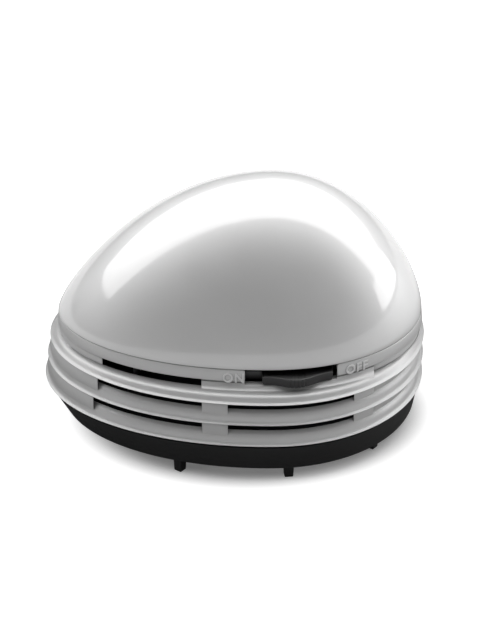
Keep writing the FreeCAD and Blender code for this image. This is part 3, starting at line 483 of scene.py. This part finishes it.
def addApron(bm, start, end, hand, steps):
    # the foot of a wall, or the opening's sill, curves out on to the shelf
    profile = [(bandInset + inset(gap), z) for gap, z in steps]
    profile += [(bayInset, profile[-1][1]), (bayInset, profile[0][1])]
    joinInto(bm, sweepPlan(profile, spanBetween(start, end, hand)))


def addBand(bm):
    low, high = levels["bandBottom"], levels["bandTop"]
    openStart, openEnd = skirt["opening"]
    profile = [(bandInset, low), (seamInset, high), (bayInset, high), (bayInset, low)]

    def aroundOpening(gap):
        return -angleAt(openEnd, gap), fullCircle - angleAt(openStart, gap)

    def atOpening(edge):  # level edges that run across the body
        along = edge.verts[0].co - edge.verts[1].co
        return abs(along.z) < 0.01 and abs(along.x) < 0.1 * abs(along.y)

    part = sweepPlan(profile, aroundOpening)
    bevelSharp(part, skirt["endRound"], segments=4, degrees=40, keep=atOpening)
    bevelSharp(part, skirt["bandRound"], segments=3, degrees=40)
    joinInto(bm, part)


def addUnderBand(bm):
    # closed walls between the slots, from the band down to the shelf
    foot = levels["deckTop"] - skirt["underFoot"]
    top = levels["bandBottom"] + skirt["underTop"]
    recess = bandInset + inset(skirt["underRecess"])
    openStart, openEnd = skirt["opening"]
    bridge, tail = skirt["frontBridge"][0], skirt["rearBridge"][1]
    near = [(bridge, openStart), (openEnd, tail)]
    far = [(bridge, tail)]
    for hand, spans in ((-1, near), (1, far)):
        for start, end in spans:
            addWall(bm, foot, top, recess, bayInset, start, end, (hand,))
            addApron(bm, start, end, hand, skirt["apron"])
    addWall(bm, foot, top, recess, bayInset, -pastTip, skirt["slotNose"][2])
    outer, inner = (inset(shift) for shift in skirt["tailShift"])
    addWall(bm, foot, top, recess + outer, bayInset + inner, tail, pastTip)
    reach = skirt["sillReach"]
    addApron(bm, openStart - reach, openEnd + reach, -1, skirt["sill"])


def buildSkirt():
    bm = bmesh.new()
    rings = levels["rings"]
    for step in range(len(rings)):
        part = sweepPlan(ringProfile(step))
        bevelSharp(part, skirt["lipRound"], degrees=45)
        joinInto(bm, part)
    for step in range(len(rings) - 1):
        lean = ringLean * step
        low = rings[step] + skirt["blockFoot"]
        high = rings[step + 1] + skirt["blockTop"]
        for start, end, fill in blockSpans(step):
            addWall(bm, low, high, lean + inset(fill), lean + inset(skirt["wall"]), start, end)
    addBand(bm)
    addUnderBand(bm)
    louvres = finishPiece("louvreSkirt", bm, skirtSatin, smoothBelow=40)
    stand(louvres, "housing", "white_shell", "vent_housing")


buildSkirt()
print("skirt built")


# The tray's edge is (nose, tail, sides); its other insets are the same all round
tray = {
    "columns": 208,
    "edge": (5.8, 2.4, 2.3),
    "edgeDraft": 0.9,
    "edgeRise": 0.7,
    "rim": 1.0,
    "rimFall": 0.5,
    "wall": 1.8,
    "floor": 1.8,
    "floorRound": 0.8,
    "lipOuter": 3.3,
    "lipInner": 4.7,
    "lipTop": 16.6,
    "seatInset": 1.8,
    "seatTop": 14.9,
    "mouthLength": 40.0,
    "mouthWidth": 12.0,
    "ductWall": 1.4,
    "ductTop": 12.8,
    "round": 0.3,
}


def stadiumPoint(angle, length, width, z):
    # the long round-ended mouth's border in a given direction from its middle
    radius, reach = width / 2, (length - width) / 2
    along, across = math.sin(angle), math.cos(angle)
    tiny = 1e-9
    if abs(across) * (reach + tiny) >= radius * abs(along) - tiny and abs(across) > tiny:
        x = math.copysign(radius, across)
        y = x * along / across
        if abs(y) <= reach:
            return Vector((plan["station"] + x, y, z))
    centre = math.copysign(reach, along)
    inner = centre * along
    size = inner + math.sqrt(max(0.0, inner * inner - reach * reach + radius * radius))
    return Vector((plan["station"] + size * across, size * along, z))


def buildTray():
    # one closed surface: from the mouth out over the floor, up the rim, back down and up the duct
    low, floor = levels["trayBottom"], levels["trayBottom"] + tray["floor"]
    top, wall = levels["trayTop"], tray["wall"]
    length, width = tray["mouthLength"], tray["mouthWidth"]
    duct = 2 * tray["ductWall"]
    edge = Vector(tray["edge"])
    foot, inner = edge + inset(tray["edgeDraft"]), edge + inset(wall)
    rim, seat = inset(tray["rim"]), inset(tray["seatInset"])
    lipOuter, lipInner = inset(tray["lipOuter"]), inset(tray["lipInner"])
    rows = [
        ("mouth", (length, width), low),
        ("plan", foot, low),
        ("plan", edge, low + tray["edgeRise"]),
        ("plan", rim, top - tray["rimFall"]),
        ("plan", seat, top - tray["rimFall"]),
        ("plan", seat, tray["seatTop"]),
        ("plan", lipOuter, tray["seatTop"]),
        ("plan", lipOuter, tray["lipTop"]),
        ("plan", lipInner, tray["lipTop"]),
        ("plan", lipInner, top),
        ("plan", inner, floor + wall),
        ("plan", inner + inset(tray["floorRound"]), floor),
        ("mouth", (length + duct, width + duct), floor),
        ("mouth", (length + duct, width + duct), tray["ductTop"]),
        ("mouth", (length, width), tray["ductTop"]),
    ]

    def surface(u, v):
        kind, size, z = rows[round(v * len(rows)) % len(rows)]
        if kind == "plan":
            return planPoint(fullCircle * u, size, z)
        return stadiumPoint(fullCircle * u, *size, z)

    bm = bmesh.new()
    addGrid(bm, tray["columns"], len(rows), surface)
    closeUp(bm)
    bmesh.ops.recalc_face_normals(bm, faces=bm.faces)
    bevelSharp(bm, tray["round"], degrees=35)
    shell = finishPiece("trayShell", bm, trayBlack, smoothBelow=40)
    stand(shell, "tray", "black_shell", "dust_tray")


# Each place has its mirror image on the other side
feet = {
    "places": ((-17.4, 35.1), (15.5, 39.0), (41.9, 24.3)),
    "root": 3.1,
    "tip": 2.7,
    "height": 5.0,
    "sink": 0.8,
    "round": 0.35,
}


def addFoot(bm, x, y):
    # a square foot that tapers to the table and faces the middle of the body
    part = bmesh.new()
    made = bmesh.ops.create_cube(part, size=1.0)["verts"]
    high = feet["height"] + feet["sink"]
    for vert in made:
        side = feet["root"] if vert.co.z > 0 else feet["tip"]
        vert.co = Vector((vert.co.x * side, vert.co.y * side, high if vert.co.z > 0 else 0.0))
    bevelSharp(part, feet["round"], segments=3, degrees=40)
    turn = math.atan2(y, x - plan["station"])
    place = Matrix.Translation((x, y, 0)) @ Matrix.Rotation(turn, 4, "Z")
    bmesh.ops.transform(part, matrix=place, verts=part.verts)
    joinInto(bm, part)


def buildFeet():
    bm = bmesh.new()
    for x, y in feet["places"]:
        for hand in (-1, 1):
            addFoot(bm, x, y * hand)
    sixFeet = finishPiece("trayFeet", bm, trayBlack)
    stand(sixFeet, "tray", "black_shell", "base_feet")


buildTray()
buildFeet()
print("tray and feet built")


# The thumb bar swells in a wave out of the band, and its flange and shield close the opening
knob = {
    "columns": 260,
    "rows": 12,
    "start": 7.3,
    "end": 28.5,
    "bottom": 32.4,
    "top": 35.3,
    "back": -32.6,
    "flush": 0.1,
    "bulge": 2.3,
    "waveTightness": 1.2,
    "ribPitch": 1.1,
    "ribDepth": 0.22,
    "ribCount": 5,
    "round": 0.3,
    "roundPower": 0.5,
    "flatPower": 0.35,
    "endRound": 1.0,
    "topShare": 0.35,
    "flangeStart": 1.0,
    "flangeEnd": 29.2,
    "flangeTop": 35.5,
    "flangeBottom": 29.5,
    "flangeThickness": 1.0,
    "flangeRound": 0.15,
    "shield": (1.0, 1.7),
    "shieldTop": 35.2,
    "shieldRound": 0.12,
}


def knobFront(x):
    along = (x - knob["start"]) / (knob["end"] - knob["start"])
    swell = max(0.0, math.cos(math.pi * (along - 0.5) * knob["waveTightness"])) ** 2
    y = -halfWidthAt(x, bandInset - inset(knob["flush"])) - knob["bulge"] * swell
    middle = (knob["start"] + knob["end"]) / 2
    offset = (x - middle) / knob["ribPitch"]
    if abs(offset) < knob["ribCount"] / 2:
        y += knob["ribDepth"] * (0.5 + 0.5 * math.cos(fullCircle * offset)) ** 2
    return y


def drawIn(x, radius):
    # how far a rounded end has drawn in at x
    share = max(0.0, min(1.0, (x - knob["start"]) / radius, (knob["end"] - x) / radius))
    return radius * (1 - math.sqrt(max(0.0, 1 - (1 - share) ** 2)))


def thumbBar():
    height = knob["top"] - knob["bottom"]
    rows = knob["rows"]
    frontRows = rows // 2

    def surface(u, v):
        # the first rows run down the rounded front, and the rest up the flat back
        x = knob["start"] + (knob["end"] - knob["start"]) * u
        row = round(v * rows) % rows
        if row >= frontRows:
            step = (row - frontRows) / (rows - frontRows - 1)
            return Vector((x, knob["back"], knob["bottom"] + height * step))
        angle = row / (frontRows - 1) * math.pi
        lift = math.cos(angle)
        shrink = knob["round"] * (1 - abs(math.sin(angle)) ** knob["roundPower"])
        squeeze = drawIn(x, knob["endRound"]) * (knob["topShare"] if lift > 0 else 1.0)
        rise = math.copysign(abs(lift) ** knob["flatPower"], lift)
        z = knob["bottom"] + height / 2 + (height / 2 - squeeze) * rise
        return Vector((x, knobFront(x) + drawIn(x, knob["round"]) + shrink, z))

    part = bmesh.new()
    addGrid(part, knob["columns"], rows, surface)
    closeUp(part)
    capEnds(part)
    return part


def knobFlange():
    part = bmesh.new()
    bmesh.ops.create_cube(part, size=1.0)
    low = Vector((knob["flangeStart"], knob["back"], knob["flangeBottom"]))
    high = Vector((knob["flangeEnd"], knob["back"] + knob["flangeThickness"], knob["flangeTop"]))
    bmesh.ops.scale(part, vec=high - low, verts=part.verts)
    bmesh.ops.translate(part, vec=(high + low) / 2, verts=part.verts)
    bevelSharp(part, knob["flangeRound"])
    return part


def knobShield():
    outer, inner = (bayInset + inset(gap) for gap in knob["shield"])
    low, high = knob["bottom"], knob["shieldTop"]
    profile = [(outer, low), (outer, high), (inner, high), (inner, low)]
    part = sweepPlan(profile, spanBetween(knob["flangeStart"], knob["flangeEnd"], -1))
    bevelSharp(part, knob["shieldRound"], degrees=40)
    return part


def buildKnob():
    bm = bmesh.new()
    for part in (thumbBar(), knobFlange(), knobShield()):
        joinInto(bm, part)
    slide = finishPiece("thumbSlide", bm, knobBlack, smoothBelow=30)
    stand(slide, "switch", "black_knob", "switch_knob")


buildKnob()
print("thumb slide built")


# Raised words on the band, each side of the thumb slide
lettering = {
    "words": {
        "ON": {"middle": -1.2, "size": 3.9},
        "OFF": {"middle": 35.9, "size": 3.6},
    },
    "drop": 0.7,
    "extrude": 0.24,
    "round": 0.1,
    "spacing": 1.15,
}


def buildWord(text, middle, size):
    curve = bpy.data.curves.new(text, "FONT")
    curve.body = text
    curve.size = size * mm
    curve.extrude = lettering["extrude"] * mm
    curve.bevel_depth = lettering["round"] * mm
    curve.align_x = "CENTER"
    curve.align_y = "CENTER"
    curve.space_character = lettering["spacing"]
    writing = bpy.data.objects.new(text, curve)
    bpy.context.scene.collection.objects.link(writing)
    bpy.context.view_layer.update()
    solid = writing.evaluated_get(bpy.context.evaluated_depsgraph_get())
    mesh = bpy.data.meshes.new_from_object(solid)
    bpy.data.objects.remove(writing)
    bm = bmesh.new()
    bm.from_mesh(mesh)
    bpy.data.meshes.remove(mesh)
    bmesh.ops.scale(bm, vec=(1 / mm, 1 / mm, 1 / mm), verts=bm.verts)
    bmesh.ops.remove_doubles(bm, verts=bm.verts, dist=0.001)
    low = levels["bandBottom"]
    height = levels["bandTop"] - low
    for vert in bm.verts:  # the flat letters are laid on the band's slope
        x, z = middle + vert.co.x, low + height / 2 - lettering["drop"] + vert.co.y
        gap = bandInset.lerp(seamInset, (z - low) / height)
        vert.co = Vector((x, -halfWidthAt(x, gap) - vert.co.z, z))
    bmesh.ops.recalc_face_normals(bm, faces=bm.faces)
    word = finishPiece(f"word{text}", bm, wordPaintedHighlight, smoothBelow=60)
    stand(word, "housing", "white_shell")


for text, settings in lettering["words"].items():
    buildWord(text, **settings)
print("words built")


# Inner pieces keep their solids and get a finish
innerFinishes = {
    "innerBlack": {
        "dark": (0.012, 0.012, 0.013), "light": (0.018, 0.018, 0.019),
        "rough": (0.45, 0.55), "grain": 2400.0, "depth": 0.00002,
        "nodes": ("fan_baffle", "deck_plate"),
    },
    "innerGrey": {
        "dark": (0.20, 0.21, 0.22), "light": (0.25, 0.26, 0.27),
        "rough": (0.4, 0.5), "grain": 2400.0, "depth": 0.00002,
        "nodes": ("battery_cradle", "filter_frame"),
    },
    "motorNylon": {
        "dark": (0.72, 0.72, 0.68), "light": (0.78, 0.78, 0.74),
        "rough": (0.35, 0.45), "grain": 2400.0, "depth": 0.00001,
        "nodes": ("motor_end_cap", "switch_stem"),
    },
    "fanPlastic": {
        "dark": (0.55, 0.58, 0.62), "light": (0.62, 0.65, 0.68),
        "rough": (0.25, 0.35), "grain": 2400.0, "depth": 0.00001,
        "nodes": ("fan_impeller",),
    },
    "cellWrap": {
        "dark": (0.05, 0.09, 0.2), "light": (0.06, 0.11, 0.24),
        "rough": (0.22, 0.3), "grain": 1200.0, "depth": 0.000004,
        "nodes": ("near_cell", "far_cell"),
    },
    "redWire": {
        "dark": (0.45, 0.02, 0.02), "light": (0.55, 0.03, 0.03),
        "rough": (0.4, 0.5), "grain": 3000.0, "depth": 0.00001,
        "nodes": ("motor_switch_lead", "switch_cell_lead"),
    },
    "blackWire": {
        "dark": (0.015, 0.015, 0.015), "light": (0.025, 0.025, 0.025),
        "rough": (0.4, 0.5), "grain": 3000.0, "depth": 0.00001,
        "nodes": ("motor_cell_lead",),
    },
    "filterCloth": {
        "dark": (0.62, 0.62, 0.58), "light": (0.74, 0.74, 0.70),
        "rough": (0.85, 0.95), "grain": 1500.0, "depth": 0.0003,
        "nodes": ("filter_screen",),
    },
    "bristleNylon": {
        "dark": (0.03, 0.03, 0.035), "light": (0.06, 0.06, 0.065),
        "rough": (0.4, 0.5), "grain": 4000.0, "depth": 0.00005,
        "nodes": ("front_brush", "rear_brush"),
    },
    "steel": {
        "dark": (0.50, 0.50, 0.50), "light": (0.60, 0.60, 0.60),
        "rough": (0.28, 0.38), "grain": 1600.0, "depth": 0.00001,
        "sockets": {"Metallic": 1.0},
        "nodes": (
            "motor_can", "motor_shaft", "chassis_screws", "nose_contact", "plus_contact",
            "minus_contact", "switch_body",
        ),
    },
    "brass": {
        "dark": (0.62, 0.46, 0.2), "light": (0.70, 0.54, 0.26),
        "rough": (0.28, 0.38), "grain": 1600.0, "depth": 0.00001,
        "sockets": {"Metallic": 1.0},
        "nodes": ("motor_terminals",),
    },
}


def dressNodes(finish, nodes, **settings):
    material = makeFinish(finish, **settings)
    for name in nodes:
        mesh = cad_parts[name].data
        mesh.materials.clear()
        mesh.materials.append(material)


for finish, settings in innerFinishes.items():
    dressNodes(finish, **settings)
print("inner pieces finished")


studio = {
    "azimuth": -1.57,
    "elevation": 32.46,
    "distance": 0.8295,
    "target": (0, 0, 0.005),
    "lens": 147.92,
    "shift": (0.0094, 0.1139),
    "floorSize": 4000,
    "paper": {"Roughness": 0.9, "Specular IOR Level": 0.1},
    "paperSeen": (0.88, 0.88, 0.88, 1),
    "paperBounced": (0.3, 0.3, 0.3, 1),
    "shadowShift": (-0.1, 0.04, 0.0),
    "shadowScale": (17.5, 22.0, 1.0),
    "shadowFade": ((0.78, 1.08), (0.12, 1.0)),
    "mirrorFade": ((1.4, 3.4), (0.0, 1.0)),
    "worldGrey": (0.5, 0.5, 0.5, 1),
    "worldStrength": 0.08,
}


def paleFloor(paper):
    # the camera sees pale paper, and the object gets a weaker bounce from it
    nodes, links = paper.node_tree.nodes, paper.node_tree.links
    shader = nodes["Principled BSDF"]
    rays = nodes.new("ShaderNodeLightPath")
    blend = nodes.new("ShaderNodeMix")
    blend.data_type = "RGBA"
    blend.inputs["A"].default_value = studio["paperBounced"]
    blend.inputs["B"].default_value = studio["paperSeen"]
    links.new(rays.outputs["Is Camera Ray"], blend.inputs["Factor"])
    links.new(blend.outputs["Result"], shader.inputs["Base Color"])
    # away from the object the paper is lifted to white, so the shadow stays close to it
    place = nodes.new("ShaderNodeTexCoord")
    mapping = nodes.new("ShaderNodeMapping")
    mapping.inputs["Location"].default_value = studio["shadowShift"]
    mapping.inputs["Scale"].default_value = studio["shadowScale"]
    length = nodes.new("ShaderNodeVectorMath")
    length.operation = "LENGTH"
    links.new(place.outputs["Object"], mapping.inputs["Vector"])
    links.new(mapping.outputs["Vector"], length.inputs[0])
    seen = mapRange(paper, length.outputs["Value"], *studio["shadowFade"], "SMOOTHSTEP")
    mirrored = mapRange(paper, length.outputs["Value"], *studio["mirrorFade"], "SMOOTHSTEP")
    shown = combine(
        paper, "ADD",
        combine(paper, "MULTIPLY", seen, rays.outputs["Is Camera Ray"]),
        combine(paper, "MULTIPLY", seen, rays.outputs["Is Transmission Ray"]),
    )
    # in reflections the paper also glows white, a painted light that starts only farther from the
    # object
    glossy = combine(paper, "MULTIPLY", mirrored, rays.outputs["Is Glossy Ray"])
    shader.inputs["Emission Color"].default_value = (1, 1, 1, 1)
    links.new(combine(paper, "ADD", shown, glossy), shader.inputs["Emission Strength"])


def buildFloor():
    bm = bmesh.new()
    bmesh.ops.create_grid(bm, x_segments=1, y_segments=1, size=studio["floorSize"])
    paper = newMaterial("paper", studio["paper"])
    paleFloor(paper)
    finishPiece("floor", bm, paper)


def buildWorld():
    # a dim grey that lights the object, and white where it is seen directly or through glass
    world = bpy.data.worlds.new("studioWorld")
    bpy.context.scene.world = world
    world.use_nodes = True
    nodes, links = world.node_tree.nodes, world.node_tree.links
    dim = nodes["Background"]
    dim.inputs["Color"].default_value = studio["worldGrey"]
    dim.inputs["Strength"].default_value = studio["worldStrength"]
    white = nodes.new("ShaderNodeBackground")
    white.inputs["Color"].default_value = (1, 1, 1, 1)
    rays = nodes.new("ShaderNodeLightPath")
    seen = combine(
        world, "MAXIMUM", rays.outputs["Is Camera Ray"], rays.outputs["Is Transmission Ray"]
    )
    mix = nodes.new("ShaderNodeMixShader")
    links.new(seen, mix.inputs[0])
    links.new(dim.outputs[0], mix.inputs[1])
    links.new(white.outputs[0], mix.inputs[2])
    links.new(mix.outputs[0], nodes["World Output"].inputs["Surface"])


# A lamp that isn't mirrored shows in no reflection, and one without shading shows only there
lamps = {
    "overhead": {
        "at": (0.6, 0.72, 1.0), "aim": (0.6, 0.72, 0.0), "size": (6.8, 1.75), "power": 7.0,
        "mirrored": False,
    },
    "overheadSheen": {
        "at": (0.6, 0.72, 0.998), "aim": (0.6, 0.72, 0.0), "size": (6.8, 1.75), "power": 132.0,
        "shading": False,
    },
    "top": {
        "at": (0.1, -0.45, 1.3), "aim": (0.0, -0.05, 0.05), "size": (1.6, 0.5), "power": 4.0,
        "mirrored": False,
    },
    "back": {
        "at": (0.0, 2.6, 0.8), "aim": (0.0, 0.0, 0.1), "size": (9.0, 1.5), "power": 11.0,
    },
    "right": {
        "at": (4.0, 0.7, 0.62), "aim": (0.0, 0.7, 0.5), "size": (2.6, 0.9), "power": 32.0,
    },
    "left": {
        "at": (-2.2, -0.6, 0.4), "aim": (0.0, 0.0, 0.03), "size": (1.0, 0.8), "power": 9.5,
        "mirrored": False,
    },
    "rightFill": {
        "at": (2.2, -0.5, 0.35), "aim": (0.0, 0.0, 0.03), "size": (1.0, 0.8), "power": 6.0,
        "mirrored": False,
    },
    "front": {
        "at": (0.0, -1.8, 0.35), "aim": (0.0, 0.0, 0.03), "size": (2.4, 0.5), "power": 3.8,
        "mirrored": False,
    },
}


def addLamp(name, at, aim, size, power, mirrored=True, shading=True):
    light = bpy.data.lights.new(name, "AREA")
    light.shape = "RECTANGLE"
    light.size, light.size_y = size
    light.energy = power
    lamp = bpy.data.objects.new(name, light)
    lamp.visible_glossy = mirrored
    lamp.visible_diffuse = shading
    bpy.context.scene.collection.objects.link(lamp)
    lamp.location = at
    lamp.rotation_euler = (Vector(aim) - Vector(at)).to_track_quat("-Z", "Y").to_euler()


def addCamera():
    camera = bpy.data.cameras.new("camera")
    camera.sensor_width = 36.0
    camera.lens = studio["lens"]
    camera.shift_x, camera.shift_y = studio["shift"]
    camera.clip_end = 20.0
    holder = bpy.data.objects.new("camera", camera)
    bpy.context.scene.collection.objects.link(holder)
    turn, lift = math.radians(studio["azimuth"]), math.radians(studio["elevation"])
    back = Vector((
        math.sin(turn) * math.cos(lift), -math.cos(turn) * math.cos(lift), math.sin(lift)
    ))
    holder.location = Vector(studio["target"]) + back * studio["distance"]
    holder.rotation_euler = back.to_track_quat("Z", "Y").to_euler()
    bpy.context.scene.camera = holder


buildFloor()
buildWorld()
for name, settings in lamps.items():
    addLamp(name, **settings)
addCamera()
bpy.context.scene.view_settings.view_transform = "Standard"
print("studio built")
